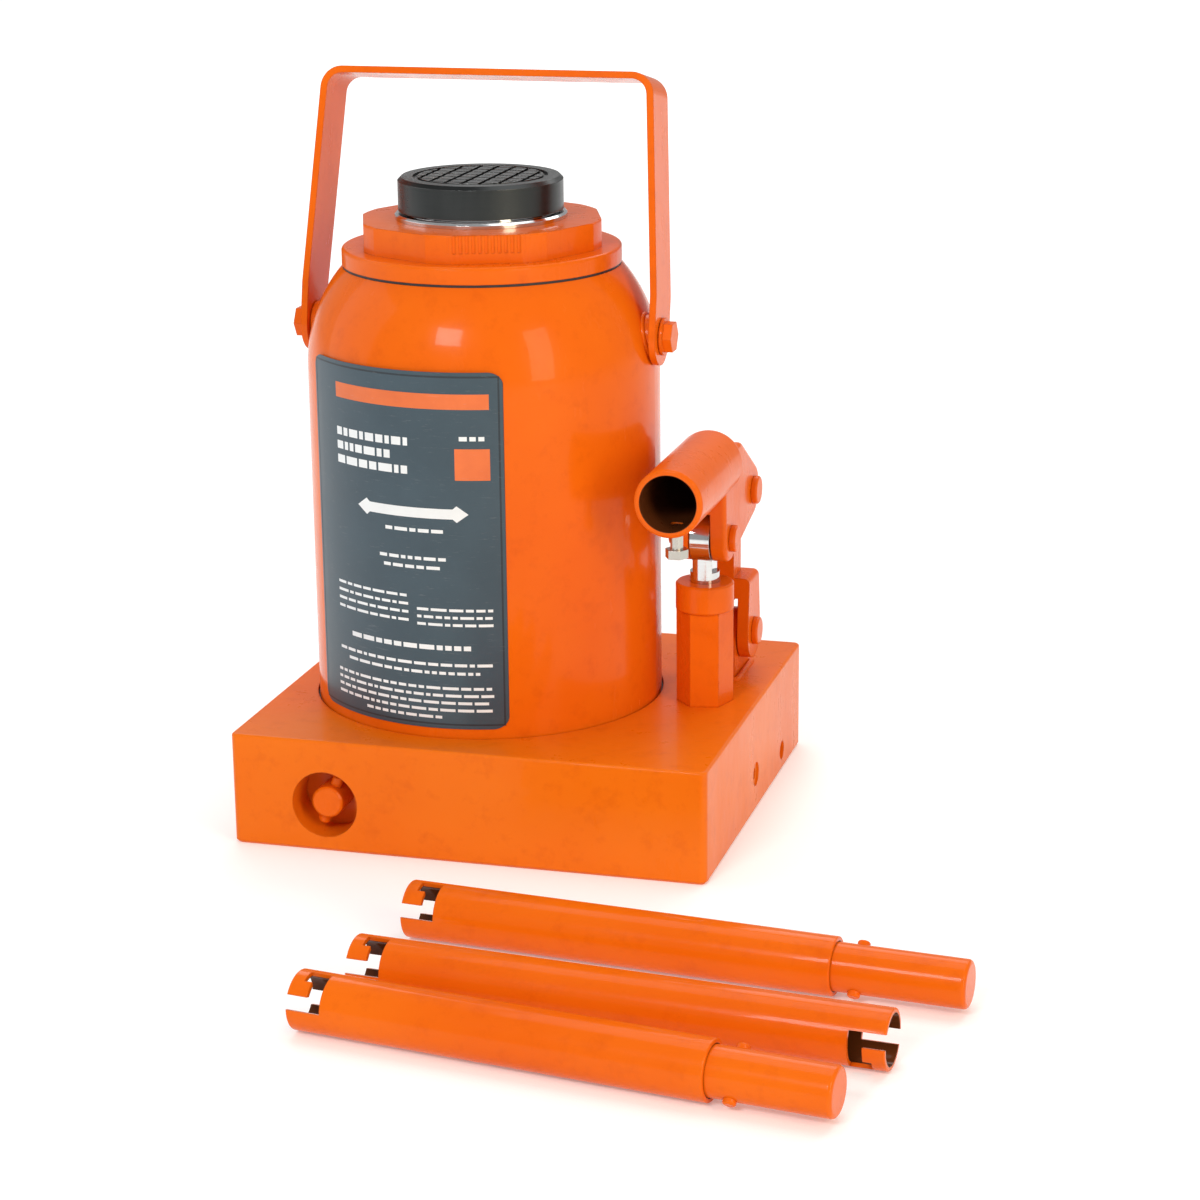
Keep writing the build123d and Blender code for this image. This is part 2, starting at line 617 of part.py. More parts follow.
def pump_lever():
    socket = rod_y(SOCKET_RADIUS, SOCKET_MOUTH, SOCKET_END, PUMP_X, SOCKET_HEIGHT)
    socket = fillet(socket.faces().sort_by(Axis.Y)[-1].edges(), 8.0)
    socket = fillet(socket.faces().sort_by(Axis.Y)[0].edges(), 1.2)
    lever = socket + lever_body()
    lever -= rod_y(SOCKET_BORE, SOCKET_MOUTH, SOCKET_MOUTH + SOCKET_DEPTH, PUMP_X, SOCKET_HEIGHT)
    lever -= lever_slot()
    lever -= rod_z(2.55, SOCKET_HEIGHT - 20, SOCKET_HEIGHT, PUMP_X, SET_SCREW_Y)
    lever -= rod_x(LINK_PIN_RADIUS + 0.02, 60, 120, *FULCRUM)
    return lever - rod_x(PLUNGER_PIN_RADIUS + 0.02, 60, 120, *PLUNGER_PIN)


def headed_pin(radius, head_radius, point):
    """Clevis pin along X: its head outside, a clip groove at the tank's side."""
    y, z = point
    face = PUMP_X + CHEEK_OUTER
    clip_side = PUMP_X - CHEEK_OUTER
    pin = rod_x(radius, clip_side - 3.2, face + 0.1, y, z)
    head = rod_x(head_radius, face + 0.1, face + 2.6, y, z)
    pin += fillet(head.faces().sort_by(Axis.X)[-1].edges(), 0.9)
    groove = ring_x(radius - 1.0, radius, clip_side - 2.0, clip_side - 0.9, y, z)
    return pin - groove


def pin_clip(radius, point):
    """Open spring clip in a pin's groove."""
    y, z = point
    side = PUMP_X - CHEEK_OUTER
    clip = ring_x(radius - 0.9, radius + 2.4, side - 1.9, side - 1.0, y, z)
    return clip - block((side - 3, side), (y - 1.8, y + 1.8), (z - 9, z))


def lever_pin_clips():
    return Compound(children=[pin_clip(LINK_PIN_RADIUS, FULCRUM),
                              pin_clip(PLUNGER_PIN_RADIUS, PLUNGER_PIN)])


def socket_screw():
    """Clamp screw that steadies the handle in the socket."""
    bore_floor = SOCKET_HEIGHT - SOCKET_BORE
    shank = rod_z(2.5, bore_floor - 10, bore_floor - 0.4, PUMP_X, SET_SCREW_Y)
    hexagon = Pos(PUMP_X, SET_SCREW_Y, bore_floor - 13.5) * RegularPolygon(4.0, 6, major_radius=False)
    return shank + extrude(hexagon, 3.5)


# ---- Carrying bail ----
def bail_frame(piece):
    """Put a bail piece, drawn upright at the pivot, into its leaning rest position."""
    return Pos(0, 0, BAIL_PIVOT_HEIGHT) * Rot(-BAIL_LEAN, 0, 0) * piece


def bail_band(inset, corner):
    """Solid outline of the bail inside one skin of the strip: straight ends, then drawn in."""
    side = BAIL_INNER + BAIL_THICK - inset
    top = BAIL_REACH - inset
    right = [(side, -BAIL_HALF_WIDTH), (side, BAIL_BEND), (side - BAIL_TAPER, top)]
    left = [(-x, z) for x, z in reversed(right)]
    face = make_face(Polyline(*right, *left, close=True))
    face = fillet(face.vertices().sort_by(Axis.Y)[-2:], corner)
    return extrude(Plane.XZ.offset(-BAIL_HALF_WIDTH) * face, 2 * BAIL_HALF_WIDTH)


def bail_handle():
    strip = bail_band(0, BAIL_CORNER) - bail_band(BAIL_THICK, BAIL_CORNER - BAIL_THICK)
    ends = extrude(Plane.YZ.offset(-90) * Circle(BAIL_HALF_WIDTH), 180)
    strip &= ends + block((-90, 90), (-20, 20), (0, 120))
    strip -= rod_x(STUD_RADIUS + RUNNING, -90, 90, 0, 0)
    return bail_frame(strip)


def both_sides(piece):
    return Compound(children=[piece, piece.mirror(Plane.YZ)])


def bail_studs():
    """Shouldered studs welded to the tank's sides; the bail turns on them."""
    pad = rod_x(8.5, 60, BAIL_INNER - 0.3, 0, BAIL_PIVOT_HEIGHT)
    profile = [Line((0, 170), (TANK_RADIUS + 0.05, 170)),
               Line((TANK_RADIUS + 0.05, 170), (TANK_RADIUS + 0.05, SHOULDER_START)),
               CenterArc((TANK_RADIUS - SHOULDER_ARC, SHOULDER_START), SHOULDER_ARC + 0.05, 0, 40)]
    top = profile[2] @ 1
    profile += [Line(top, (0, top.Y)), Line((0, top.Y), (0, 170))]
    pad -= revolve(Plane.XZ * make_face(profile), Axis.Z)
    stud = pad + rod_x(STUD_RADIUS, BAIL_INNER - 1.0, BAIL_INNER + BAIL_THICK + 4.5, 0, BAIL_PIVOT_HEIGHT)
    return both_sides(stud)


def bail_nuts():
    """Dome nuts that keep the bail on its studs."""
    start = BAIL_INNER + BAIL_THICK + LOOSE
    flange = rod_x(7.5, start, start + 1.2, 0, BAIL_PIVOT_HEIGHT)
    hexagon = Pos(0, BAIL_PIVOT_HEIGHT) * RegularPolygon(5.6, 6, major_radius=False)
    nut = flange + extrude(Plane.YZ.offset(start + 1.2) * hexagon, 3.6)
    nut -= rod_x(STUD_RADIUS + 0.02, start, BAIL_INNER + BAIL_THICK + 4.5, 0, BAIL_PIVOT_HEIGHT)
    return both_sides(nut)


# ---- Label ----
def label_plate():
    """Thin plate wrapped round the tank's front, with rounded corners."""
    skin = ring_z(TANK_RADIUS + 0.03, TANK_RADIUS + 0.03 + LABEL_THICK, LABEL_BOTTOM, LABEL_TOP)
    middle = (LABEL_FROM + LABEL_TO) / 2
    half_angle = math.radians((LABEL_TO - LABEL_FROM) / 2)
    half_width = TANK_RADIUS * math.sin(half_angle)
    height = LABEL_TOP - LABEL_BOTTOM
    window = fillet(Rectangle(2 * half_width, height).vertices(), 5.0)
    window = Plane.YZ * Pos(0, (LABEL_TOP + LABEL_BOTTOM) / 2) * window
    return skin & (Rot(0, 0, middle) * extrude(window, 100))


# ---- Handle sections ----
def j_slot():
    """Bayonet slot cut through a tube's wall at x = 0: in, round and a short way back."""
    radial = (HANDLE_TUBE_RADIUS - HANDLE_WALL - 1, HANDLE_TUBE_RADIUS + 1)
    half = SLOT_WIDTH / 2
    entry = block((-1, SLOT_DEPTH), (-half, half), radial)
    back = block((SLOT_DEPTH - SLOT_WIDTH - SLOT_RETURN, SLOT_DEPTH), (-half, half), radial)
    middle = (SLOT_DEPTH - half, sum(radial) / 2)
    band = Pos(*middle) * Rectangle(SLOT_WIDTH, radial[1] - radial[0])
    turn = revolve(Plane.XZ * band, Axis.X, -SLOT_TURN)
    return entry + turn + Rot(-SLOT_TURN, 0, 0) * back


def slotted_end():
    return j_slot() + Rot(180, 0, 0) * j_slot()


def hollow_tube(length):
    tube = rod_x(HANDLE_TUBE_RADIUS, 0, length, 0, 0)
    tube = fillet(tube.edges().filter_by(GeomType.CIRCLE), 0.6)
    return tube - rod_x(HANDLE_TUBE_RADIUS - HANDLE_WALL, 0, length, 0, 0)


def place_section(piece, section, roll):
    """Lay a piece drawn along +X on the ground, rolled about its own axis."""
    x, y, heading = section[:3]
    return Pos(x, y, HANDLE_TUBE_RADIUS) * Rot(0, 0, heading) * Rot(roll, 0, 0) * piece


def handle_tube(section):
    tube = hollow_tube(section[3]) - slotted_end()
    return place_section(tube, section, SLOT_ROLL)


def handle_spigot(section):
    tube, spigot = section[3:]
    bar = rod_x(SPIGOT_RADIUS, tube - SPIGOT_HIDDEN, tube + spigot, 0, 0)
    bar = fillet(bar.faces().sort_by(Axis.X)[-1].edges(), 1.6)
    bar -= rod_z(HANDLE_PIN_RADIUS + 0.02, -12, 12, tube + HANDLE_PIN_OFFSET)
    return place_section(bar, section, SLOT_ROLL + PIN_ROLL)


def handle_pin(section):
    pin = rod_z(HANDLE_PIN_RADIUS, -10.5, 10.5, section[3] + HANDLE_PIN_OFFSET)
    pin = fillet(pin.edges().filter_by(GeomType.CIRCLE), 0.8)
    return place_section(pin, section, SLOT_ROLL + PIN_ROLL)


def handle_tube_middle():
    """The middle tube is slotted at both ends."""
    length = MIDDLE_SECTION[3]
    far_end = Pos(length, 0, 0) * Rot(0, 0, 180) * slotted_end()
    tube = hollow_tube(length) - slotted_end() - far_end
    return place_section(tube, MIDDLE_SECTION, SLOT_ROLL)


# ---- Output: one STEP file per node ----
NODES = {
    "base_block": base_block,
    "passage_plugs": passage_plugs,
    "relief_screw": relief_screw,
    "relief_spring": relief_spring,
    "relief_ball": relief_ball,
    "outlet_ball": outlet_ball,
    "outlet_spring": outlet_spring,
    "outlet_retainer": outlet_retainer,
    "inlet_seat": inlet_seat,
    "inlet_ball": inlet_ball,
    "inlet_spring": inlet_spring,
    "inlet_strainer": inlet_strainer,
    "release_screw": release_screw,
    "release_cross_pin": release_cross_pin,
    "release_seal": release_seal,
    "release_ball": release_ball,
    "reservoir_tank": reservoir_tank,
    "tank_gasket": tank_gasket,
    "tank_top_seal": tank_top_seal,
    "filler_plug": filler_plug,
    "pressure_cylinder": pressure_cylinder,
    "cylinder_seal": cylinder_seal,
    "top_nut": top_nut,
    "rod_seal": rod_seal,
    "wiper_ring": wiper_ring,
    "ram": ram,
    "piston_cup": piston_cup,
    "piston_backup_ring": piston_backup_ring,
    "piston_guide": piston_guide,
    "saddle": saddle,
    "saddle_ring": saddle_ring,
    "pump_cylinder": pump_cylinder,
    "pump_washer": pump_washer,
    "pump_gland_seal": pump_gland_seal,
    "pump_plunger": pump_plunger,
    "plunger_seal": plunger_seal,
    "link_lug": link_lug,
    "pump_link": pump_link,
    "pump_lever": pump_lever,
    "fulcrum_pin": lambda: headed_pin(LINK_PIN_RADIUS, 5.8, FULCRUM),
    "plunger_pin": lambda: headed_pin(PLUNGER_PIN_RADIUS, 5.4, PLUNGER_PIN),
    "link_foot_pin": lambda: headed_pin(LINK_PIN_RADIUS, 5.8, LINK_FOOT),
    "lever_pin_clips": lever_pin_clips,
    "link_foot_clip": lambda: pin_clip(LINK_PIN_RADIUS, LINK_FOOT),
    "socket_screw": socket_screw,
    "bail_handle": bail_handle,
    "bail_studs": bail_studs,
    "bail_nuts": bail_nuts,
    "label_plate": label_plate,
    "handle_tube_rear": lambda: handle_tube(REAR_SECTION),
    "handle_spigot_rear": lambda: handle_spigot(REAR_SECTION),
    "handle_pin_rear": lambda: handle_pin(REAR_SECTION),
    "handle_tube_middle": handle_tube_middle,
    "handle_tube_front": lambda: handle_tube(FRONT_SECTION),
    "handle_spigot_front": lambda: handle_spigot(FRONT_SECTION),
    "handle_pin_front": lambda: handle_pin(FRONT_SECTION),
}

os.makedirs("parts", exist_ok=True)
for node, make in NODES.items():
    export_step(make(), f"parts/{node}.step")
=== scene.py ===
"""Looks of a hydraulic bottle jack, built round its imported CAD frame. Metres; +X pump side, -Y front, +Z up."""

import json
import math
import random

import bmesh
import bpy
from mathutils import Matrix, Vector


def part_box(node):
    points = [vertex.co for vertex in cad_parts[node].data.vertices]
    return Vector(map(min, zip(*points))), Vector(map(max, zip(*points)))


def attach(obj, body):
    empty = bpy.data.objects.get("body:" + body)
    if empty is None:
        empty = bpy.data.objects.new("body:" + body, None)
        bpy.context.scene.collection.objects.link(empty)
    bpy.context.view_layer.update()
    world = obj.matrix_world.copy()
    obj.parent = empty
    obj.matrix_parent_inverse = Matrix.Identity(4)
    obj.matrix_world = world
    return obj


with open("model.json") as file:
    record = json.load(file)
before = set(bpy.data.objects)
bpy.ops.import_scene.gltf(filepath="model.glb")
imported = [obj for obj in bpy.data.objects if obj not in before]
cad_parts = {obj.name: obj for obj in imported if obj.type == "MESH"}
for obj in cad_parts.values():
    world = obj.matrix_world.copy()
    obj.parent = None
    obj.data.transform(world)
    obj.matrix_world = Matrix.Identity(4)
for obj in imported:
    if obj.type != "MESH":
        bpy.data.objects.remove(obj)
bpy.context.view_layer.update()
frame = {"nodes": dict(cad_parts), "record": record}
nodes = frame["nodes"]

MM = 0.001

# ---- Colours, linear ----
ORANGE = (0.73, 0.112, 0.003)
ORANGE_LIGHT = (0.78, 0.138, 0.004)
ORANGE_DEEP = (0.52, 0.062, 0.002)
PAINT_EDGE = (0.42, 0.044, 0.002)
BASE_ORANGE = (0.75, 0.135, 0.003)
BASE_ORANGE_LIGHT = (0.79, 0.162, 0.005)
# Dark colour of bore walls: unpainted steel, darkened further as painted shade of the deep bore.
BARE_BORE_AND_PAINTED_SHADE = (0.115, 0.030, 0.008)
BARE_STEEL = (0.42, 0.40, 0.37)
BARE_STEEL_STAIN = (0.25, 0.24, 0.22)
BRIGHT_STEEL = (0.62, 0.61, 0.59)
BLACK_OXIDE = (0.040, 0.043, 0.043)
BLACK_OXIDE_STAIN = (0.062, 0.065, 0.065)
CHROME = (0.72, 0.73, 0.74)
CHROME_STAIN = (0.60, 0.61, 0.62)
OILY_CHROME = (0.52, 0.52, 0.52)
ZINC = (0.60, 0.59, 0.55)
ZINC_STAIN = (0.42, 0.40, 0.34)
COPPER = (0.72, 0.30, 0.15)
COPPER_STAIN = (0.45, 0.17, 0.09)
RUBBER = (0.012, 0.012, 0.013)
NYLON = (0.55, 0.50, 0.38)
SLATE = (0.026, 0.052, 0.072)
SLATE_LIGHT = (0.038, 0.070, 0.094)
INK_WHITE = (0.80, 0.83, 0.84)
INK_WHITE_THIN = (0.70, 0.73, 0.75)
INK_ORANGE = (0.75, 0.15, 0.02)
INK_ORANGE_THIN = (0.62, 0.11, 0.015)
INK_DARK = (0.010, 0.018, 0.026)
INK_DARK_THIN = (0.014, 0.024, 0.034)
FLOOR = (0.86, 0.86, 0.855)
WHITE = (1.0, 1.0, 1.0)
WARM_WHITE = (1.0, 0.86, 0.60)

# ---- Surface ----
EDGE_START = 0.02
EDGE_FULL = 0.22
SOFT_EDGE = 0.5 * MM
CAST_EDGE = 0.8 * MM
BORE_SKIN = 0.10 * MM
BORE_FADE = 0.25 * MM
BORE_FLOOR_SLACK = 0.3 * MM
TUBE_BORE_RADIUS = 9.0 * MM

# ---- Camera ----
CAMERA_PLACE = (0.36634, -1.13252, 0.43147)
CAMERA_YAW = 0.2745
CAMERA_PITCH = 0.2861
CAMERA_ROLL = -0.0108
CAMERA_LENS = 90.0
CAMERA_SENSOR = 36.0

# ---- Stage ----
FLOOR_SIZE = 30.0
FLOOR_GLOW = 0.20
WORLD_STRENGTH = 0.40
JACK_MIDDLE = (0.0, 0.0, 0.12)


# ---- Shader helpers ----
class Graph:
    """One material's node tree, with short calls for the nodes used here."""

    def __init__(self, name):
        self.material = bpy.data.materials.new(name)
        self.material.use_nodes = True
        self.tree = self.material.node_tree
        self.shader = self.tree.nodes["Principled BSDF"]

    def node(self, kind, **settings):
        made = self.tree.nodes.new(kind)
        for key, value in settings.items():
            setattr(made, key, value)
        return made

    def feed(self, socket, value):
        """Link a node's output to a socket, or set the socket to a plain value."""
        if isinstance(value, bpy.types.NodeSocket):
            self.tree.links.new(value, socket)
        elif hasattr(value, "__len__") and len(value) == 3 and socket.type == "RGBA":
            socket.default_value = (*value, 1.0)
        else:
            socket.default_value = value

    def place(self):
        return self.node("ShaderNodeTexCoord").outputs["Object"]

    def noise(self, vector, scale, detail=3.0, rough=0.5):
        made = self.node("ShaderNodeTexNoise")
        self.feed(made.inputs["Vector"], vector)
        made.inputs["Scale"].default_value = scale
        made.inputs["Detail"].default_value = detail
        made.inputs["Roughness"].default_value = rough
        return made.outputs["Fac"]

    def cells(self, vector, scale):
        made = self.node("ShaderNodeTexVoronoi")
        self.feed(made.inputs["Vector"], vector)
        made.inputs["Scale"].default_value = scale
        return made.outputs["Distance"]

    def span(self, value, low, high, to_low=0.0, to_high=1.0):
        """Map a value from low-high to to_low-to_high, clamped."""
        made = self.node("ShaderNodeMapRange")
        self.feed(made.inputs["Value"], value)
        for key, number in (("From Min", low), ("From Max", high),
                            ("To Min", to_low), ("To Max", to_high)):
            made.inputs[key].default_value = number
        return made.outputs["Result"]

    def maths(self, operation, a, b=0.0):
        made = self.node("ShaderNodeMath", operation=operation)
        self.feed(made.inputs[0], a)
        self.feed(made.inputs[1], b)
        return made.outputs[0]

    def vectors(self, operation, a, b=None):
        made = self.node("ShaderNodeVectorMath", operation=operation)
        self.feed(made.inputs[0], a)
        if b is not None:
            self.feed(made.inputs[1], b)
        return made.outputs

    def scaled(self, vector, factors):
        return self.vectors("MULTIPLY", vector, factors)["Vector"]

    def mix(self, share, a, b):
        made = self.node("ShaderNodeMix", data_type="RGBA")
        self.feed(made.inputs["Factor"], share)
        self.feed(made.inputs["A"], a)
        self.feed(made.inputs["B"], b)
        return made.outputs["Result"]

    def rounded(self, radius):
        """Normal rounded over sharp edges, as paint and tumbling leave them."""
        made = self.node("ShaderNodeBevel", samples=6)
        made.inputs["Radius"].default_value = radius
        return made.outputs["Normal"]

    def edges(self, radius):
        """1 on sharp edges, 0 on flat faces."""
        flat = self.node("ShaderNodeNewGeometry").outputs["Normal"]
        alike = self.vectors("DOT_PRODUCT", self.rounded(radius), flat)["Value"]
        return self.span(alike, 1.0 - EDGE_START, 1.0 - EDGE_FULL)

    def bump(self, height, depth, normal=None):
        made = self.node("ShaderNodeBump")
        made.inputs["Strength"].default_value = 1.0
        made.inputs["Distance"].default_value = depth
        self.feed(made.inputs["Height"], height)
        if normal is not None:
            self.feed(made.inputs["Normal"], normal)
        return made.outputs["Normal"]

    def finish(self, colour, roughness, normal, **plain):
        for name, value in (("Base Color", colour), ("Roughness", roughness), ("Normal", normal)):
            self.feed(self.shader.inputs[name], value)
        for name, value in plain.items():
            self.shader.inputs[name.replace("_", " ")].default_value = value
        return self.material


def turned(graph, centre, marks):
    """Coordinates that vary with radius and height round a vertical axis, for lathe marks."""
    offset = graph.vectors("SUBTRACT", graph.place(), (*centre, 0.0))["Vector"]
    parts = graph.node("ShaderNodeSeparateXYZ")
    graph.feed(parts.inputs[0], offset)
    squares = [graph.maths("MULTIPLY", parts.outputs[i], parts.outputs[i]) for i in (0, 1)]
    radius = graph.maths("SQRT", graph.maths("ADD", *squares))
    joined = graph.node("ShaderNodeCombineXYZ")
    graph.feed(joined.inputs[0], graph.maths("MULTIPLY", radius, marks))
    graph.feed(joined.inputs[1], graph.maths("MULTIPLY", parts.outputs[2], marks))
    return joined.outputs[0]


def inside_bore(graph, place, start, end, radius):
    """1 on the wall and floor of a bore of that radius that runs from start to end."""
    axis = (end - start).normalized()
    depth = (end - start).length
    offset = graph.vectors("SUBTRACT", place, start)["Vector"]
    across = graph.vectors("CROSS_PRODUCT", offset, axis)["Vector"]
    distance = graph.vectors("LENGTH", across)["Value"]
    reach = graph.vectors("DOT_PRODUCT", offset, axis)["Value"]
    wall = graph.span(distance, radius + BORE_SKIN, radius + BORE_FADE, 1.0, 0.0)
    above_floor = graph.maths("LESS_THAN", reach, depth + BORE_FLOOR_SLACK)
    return graph.maths("MULTIPLY", wall, above_floor)


# ---- Materials ----
def enamel(name, peel, peel_depth, grain_depth, gloss, edge=SOFT_EDGE,
           shades=(ORANGE, ORANGE_LIGHT), bore=None):
    """Orange enamel: slow colour drift, orange peel, casting or mill grain under it, thin paint at edges.
    bore is the start, end and radius of a bore whose walls are darkened, partly as unpainted steel and partly as
    painted shade deep inside it."""
    g = Graph(name)
    place = g.place()
    drift = g.span(g.noise(place, 14.0, 4.0), 0.35, 0.68)
    colour = g.mix(drift, *shades)
    mottle = g.span(g.noise(place, 120.0, 6.0, 0.65), 0.52, 0.80, 0.0, 0.35)
    colour = g.mix(mottle, colour, ORANGE_DEEP)
    thin = g.span(g.noise(place, 260.0, 5.0, 0.7), 0.42, 0.62, 0.15, 0.8)
    colour = g.mix(g.maths("MULTIPLY", g.edges(edge), thin), colour, PAINT_EDGE)
    specks = g.span(g.cells(place, 300.0), 0.0, 0.055, 0.6, 0.0)
    colour = g.mix(specks, colour, ORANGE_DEEP)
    # Bore walls go dark: unpainted steel plus painted shade, where the bore is deep.
    if bore:
        colour = g.mix(inside_bore(g, place, *bore), colour, BARE_BORE_AND_PAINTED_SHADE)
    handling = g.noise(g.scaled(place, (1.0, 1.0, 0.35)), 46.0, 8.0, 0.7)
    roughness = g.span(handling, 0.35, 0.72, gloss, gloss + 0.16)
    normal = g.bump(g.noise(place, peel, 2.0), peel_depth, g.rounded(edge))
    normal = g.bump(g.noise(place, peel * 3.4, 6.0, 0.62), grain_depth, normal)
    return g.finish(colour, roughness, normal, IOR=1.22, Specular_IOR_Level=0.3,
                    Coat_Weight=0.20, Coat_Roughness=0.04, Coat_IOR=1.38)


def casting(name, bore=None):
    """Enamel over a sand casting's coarser grain and rounder edges."""
    return enamel(name, peel=420.0, peel_depth=0.07 * MM, grain_depth=0.030 * MM, gloss=0.24,
                  edge=CAST_EDGE, bore=bore)


def tubing(name, bore=None):
    """Enamel over smooth drawn tube."""
    return enamel(name, peel=260.0, peel_depth=0.04 * MM, grain_depth=0.006 * MM, gloss=0.12, bore=bore)


def machined(name, colour, stained, low, high, centre=(0.0, 0.0), marks=2600.0, wear=0.6, brushed=0.3):
    """Turned metal, low to high in roughness: fine lathe marks round its axis, stains, brighter worn edges."""
    g = Graph(name)
    rings = g.noise(turned(g, centre, marks), 1.0, 3.0, 0.7)
    stain = g.span(g.noise(g.scaled(g.place(), (1.0, 1.0, 0.2)), 60.0, 4.0, 0.5), 0.38, 0.72)
    base = g.mix(stain, colour, stained)
    base = g.mix(g.span(rings, 0.3, 0.75, 0.0, 0.35), base, stained)
    worn = g.maths("MULTIPLY", g.edges(0.4 * MM), wear)
    base = g.mix(worn, base, BRIGHT_STEEL)
    roughness = g.span(g.maths("ADD", rings, stain), 0.5, 1.5, low, high)
    normal = g.bump(rings, 0.006 * MM, g.rounded(0.3 * MM))
    tangent = g.node("ShaderNodeTangent", direction_type="RADIAL", axis="Z")
    g.feed(g.shader.inputs["Tangent"], tangent.outputs[0])
    return g.finish(base, roughness, normal, Metallic=1.0, Anisotropic=brushed)


def moulded(name, colour, roughness):
    """Rubber and nylon seals: fine moulded grain with a dusty bloom."""
    g = Graph(name)
    place = g.place()
    bloom = g.span(g.noise(place, 240.0, 6.0, 0.7), 0.45, 0.75, 0.0, 0.5)
    dusty = tuple(min(1.0, 2.2 * c + 0.01) for c in colour)
    normal = g.bump(g.noise(place, 2400.0, 3.0), 0.02 * MM, g.rounded(0.2 * MM))
    dulled = g.span(bloom, 0.0, 0.5, roughness, roughness + 0.2)
    return g.finish(g.mix(bloom, colour, dusty), dulled, normal)


def film(name, colour, thin, roughness, coat):
    """Printed film or ink: faint print density changes and scuffs."""
    g = Graph(name)
    place = g.place()
    density = g.span(g.noise(place, 30.0, 6.0, 0.6), 0.35, 0.7)
    scuff = g.span(g.noise(g.scaled(place, (1.0, 1.0, 6.0)), 160.0, 6.0, 0.7), 0.60, 0.78, 0.0, 0.35)
    scuffed = tuple(0.5 * (c + 0.4) for c in colour)
    printed = g.mix(scuff, g.mix(density, colour, thin), scuffed)
    normal = g.bump(g.noise(place, 700.0, 2.0), 0.012 * MM)
    return g.finish(printed, g.span(density, 0.0, 1.0, roughness, roughness + 0.12), normal,
                    Coat_Weight=coat, Coat_Roughness=0.12)


def floor_paper():
    g = Graph("floor_paper")
    fibre = g.span(g.noise(g.place(), 900.0, 4.0), 0.3, 0.7)
    shaded = tuple(0.985 * c for c in FLOOR)
    return g.finish(g.mix(fibre, FLOOR, shaded), 0.85, g.bump(fibre, 0.02 * MM),
                    Emission_Color=(*WHITE, 1.0), Emission_Strength=FLOOR_GLOW)


def assign(names, material):
    for name in names:
        mesh = nodes[name].data
        mesh.materials.clear()
        mesh.materials.append(material)


def socket_bore():
    """Start, end and radius of the lever's blind socket, from its mount."""
    mount = next(m for m in frame["record"]["mounts"] if m["name"] == "handle_socket")
    middle, outward = Vector(mount["pos_m"]), Vector(mount["axis"])
    half = mount["dims"]["length_mm"] * MM / 2
    return middle + half * outward, middle - half * outward, mount["dims"]["r_mm"] * MM


def tube_bore(section):
    """Start, end and radius of a handle tube's bore, from the openings along it.
    The end is set past the last opening, because nothing stops the bore there."""
    openings = frame["record"]["physics"]["openings"]
    boxes = [o["box_m"] for o in openings if o["name"].startswith(f"{section}_tube_bore")]
    first, last = ((Vector(low) + Vector(high)) / 2 for low, high in (boxes[0], boxes[-1]))
    return first, last + (last - first), TUBE_BORE_RADIUS


pump_low, pump_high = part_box("pump_cylinder")
PUMP_AXIS = tuple((pump_low[i] + pump_high[i]) / 2 for i in (0, 1))

sheet_enamel = enamel("enamel_on_sheet", peel=190.0, peel_depth=0.05 * MM, grain_depth=0.004 * MM, gloss=0.16)
block_enamel = enamel("enamel_on_block", peel=240.0, peel_depth=0.05 * MM, grain_depth=0.010 * MM, gloss=0.26,
                      edge=CAST_EDGE, shades=(BASE_ORANGE, BASE_ORANGE_LIGHT))
cast_enamel = casting("enamel_on_castings")
lever_enamel = casting("enamel_on_lever", bore=socket_bore())
spigot_enamel = tubing("enamel_on_spigots")
black_oxide = machined("black_oxide", BLACK_OXIDE, BLACK_OXIDE_STAIN, 0.20, 0.32,
                       marks=1500.0, wear=0.35, brushed=0.92)
chrome = machined("hard_chrome", CHROME, CHROME_STAIN, 0.09, 0.17)
plunger_chrome = machined("plunger_chrome", CHROME, OILY_CHROME, 0.09, 0.22, centre=PUMP_AXIS)
turned_steel = machined("turned_steel", BARE_STEEL, BARE_STEEL_STAIN, 0.25, 0.45)
zinc = machined("zinc_plate", ZINC, ZINC_STAIN, 0.24, 0.42, centre=PUMP_AXIS)
copper = machined("copper_washer", COPPER, COPPER_STAIN, 0.25, 0.45)
rubber = moulded("seal_rubber", RUBBER, 0.55)
nylon = moulded("guide_nylon", NYLON, 0.45)
label_film = film("label_film", SLATE, SLATE_LIGHT, roughness=0.34, coat=0.15)
ink_white = film("ink_white", INK_WHITE, INK_WHITE_THIN, roughness=0.4, coat=0.3)
ink_orange = film("ink_orange", INK_ORANGE, INK_ORANGE_THIN, roughness=0.4, coat=0.3)
ink_dark = film("ink_dark", INK_DARK, INK_DARK_THIN, roughness=0.4, coat=0.1)

assign(["reservoir_tank", "bail_handle"], sheet_enamel)
assign(["base_block", "passage_plugs", "relief_screw", "filler_plug"], block_enamel)
assign(["top_nut", "pump_cylinder", "link_lug", "pump_link", "release_screw",
        "release_cross_pin", "fulcrum_pin", "plunger_pin", "link_foot_pin", "bail_studs",
        "bail_nuts"], cast_enamel)
assign(["pump_lever"], lever_enamel)
assign([name for name in nodes if name.startswith(("handle_spigot_", "handle_pin_"))], spigot_enamel)
for section in ("rear", "middle", "front"):
    assign([f"handle_tube_{section}"], tubing(f"enamel_on_{section}_tube", bore=tube_bore(section)))
assign(["saddle"], black_oxide)
assign(["wiper_ring", "ram"], chrome)
assign(["pump_plunger"], plunger_chrome)
assign(["pressure_cylinder", "saddle_ring", "relief_spring", "relief_ball", "outlet_ball",
        "outlet_spring", "outlet_retainer", "inlet_seat", "inlet_ball", "inlet_spring",
        "inlet_strainer", "release_ball"], turned_steel)
assign(["socket_screw", "lever_pin_clips", "link_foot_clip"], zinc)
assign(["pump_washer", "cylinder_seal"], copper)
assign(["release_seal", "tank_gasket", "tank_top_seal", "rod_seal", "piston_cup",
        "pump_gland_seal", "plunger_seal"], rubber)
assign(["piston_guide", "piston_backup_ring"], nylon)
assign(["label_plate"], label_film)


